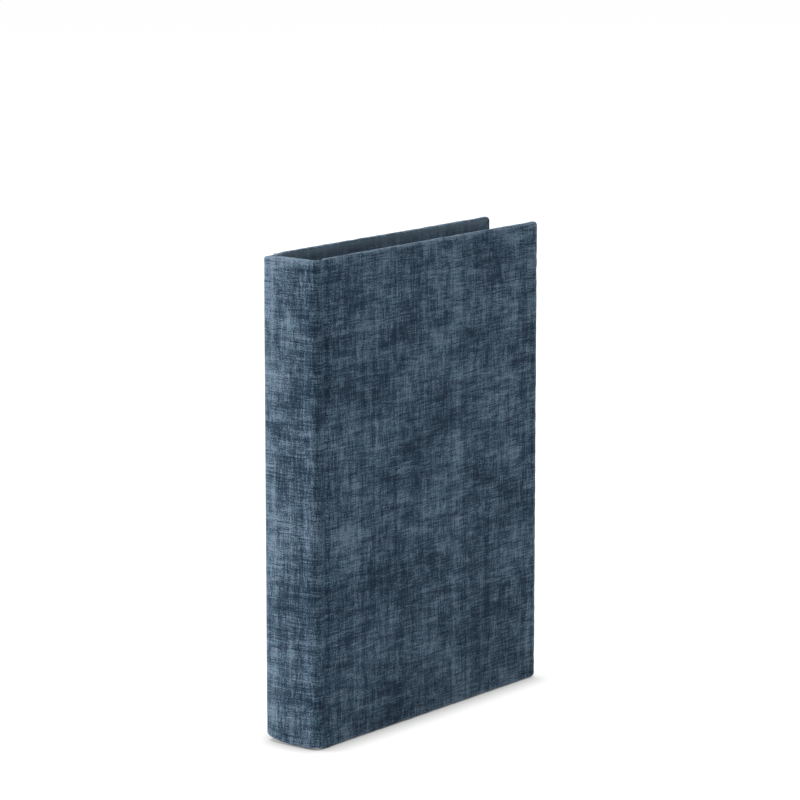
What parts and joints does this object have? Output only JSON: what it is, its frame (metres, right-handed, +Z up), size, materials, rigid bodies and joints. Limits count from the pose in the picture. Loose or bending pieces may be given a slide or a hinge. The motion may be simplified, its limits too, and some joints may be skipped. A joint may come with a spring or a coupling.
{
  "type": "clamshell book box",
  "caption": "Cloth covered clamshell box shaped like a book, with a spine, two covers and two trays that close one over the other.",
  "frame": {"origin": "midway across the closed, standing box, at its tail", "axes": "+X from the spine to the fore edge, +Y from the front cover to the back cover, +Z up from tail to head"},
  "size_m": [0.18, 0.0336, 0.24],
  "materials": {
    "cloth": "matte woven book cloth, blue chambray with darker slubs",
    "board": "uncoated grey binder's board",
    "card": "uncoated pale card",
    "lining_paper": "uncoated off-white paper"
  },
  "bodies": {
    "back_cover": {"back_cover_board": "board", "back_cover_cloth": "cloth", "back_cover_infill": "card", "inner_tray_base": "board", "inner_tray_head_wall": "board", "inner_tray_tail_wall": "board", "inner_tray_fore_wall": "board", "inner_tray_cloth": "cloth", "inner_tray_lining": "lining_paper"},
    "spine": {"spine_board": "board", "spine_cloth": "cloth", "spine_lining": "cloth", "back_joint_cloth": "cloth", "back_joint_lining": "cloth", "front_joint_cloth": "cloth", "front_joint_lining": "cloth"},
    "front_cover": {"front_cover_board": "board", "front_cover_cloth": "cloth", "front_cover_infill": "card", "outer_tray_base": "board", "outer_tray_head_wall": "board", "outer_tray_tail_wall": "board", "outer_tray_fore_wall": "board", "outer_tray_cloth": "cloth", "outer_tray_lining": "lining_paper"}
  },
  "joints": [
    {"name": "back_joint", "type": "hinge", "parent": "back_cover", "child": "spine", "pos_m": [-0.0895, 0.01625, 0.12], "axis": [0, 0, -1], "range_deg": [0, 90], "deforming": ["back_joint_cloth", "back_joint_lining"]},
    {"name": "front_joint", "type": "hinge", "parent": "spine", "child": "front_cover", "pos_m": [-0.0895, -0.01625, 0.12], "axis": [0, 0, -1], "range_deg": [0, 90], "deforming": ["front_joint_cloth", "front_joint_lining"]}
  ]
}
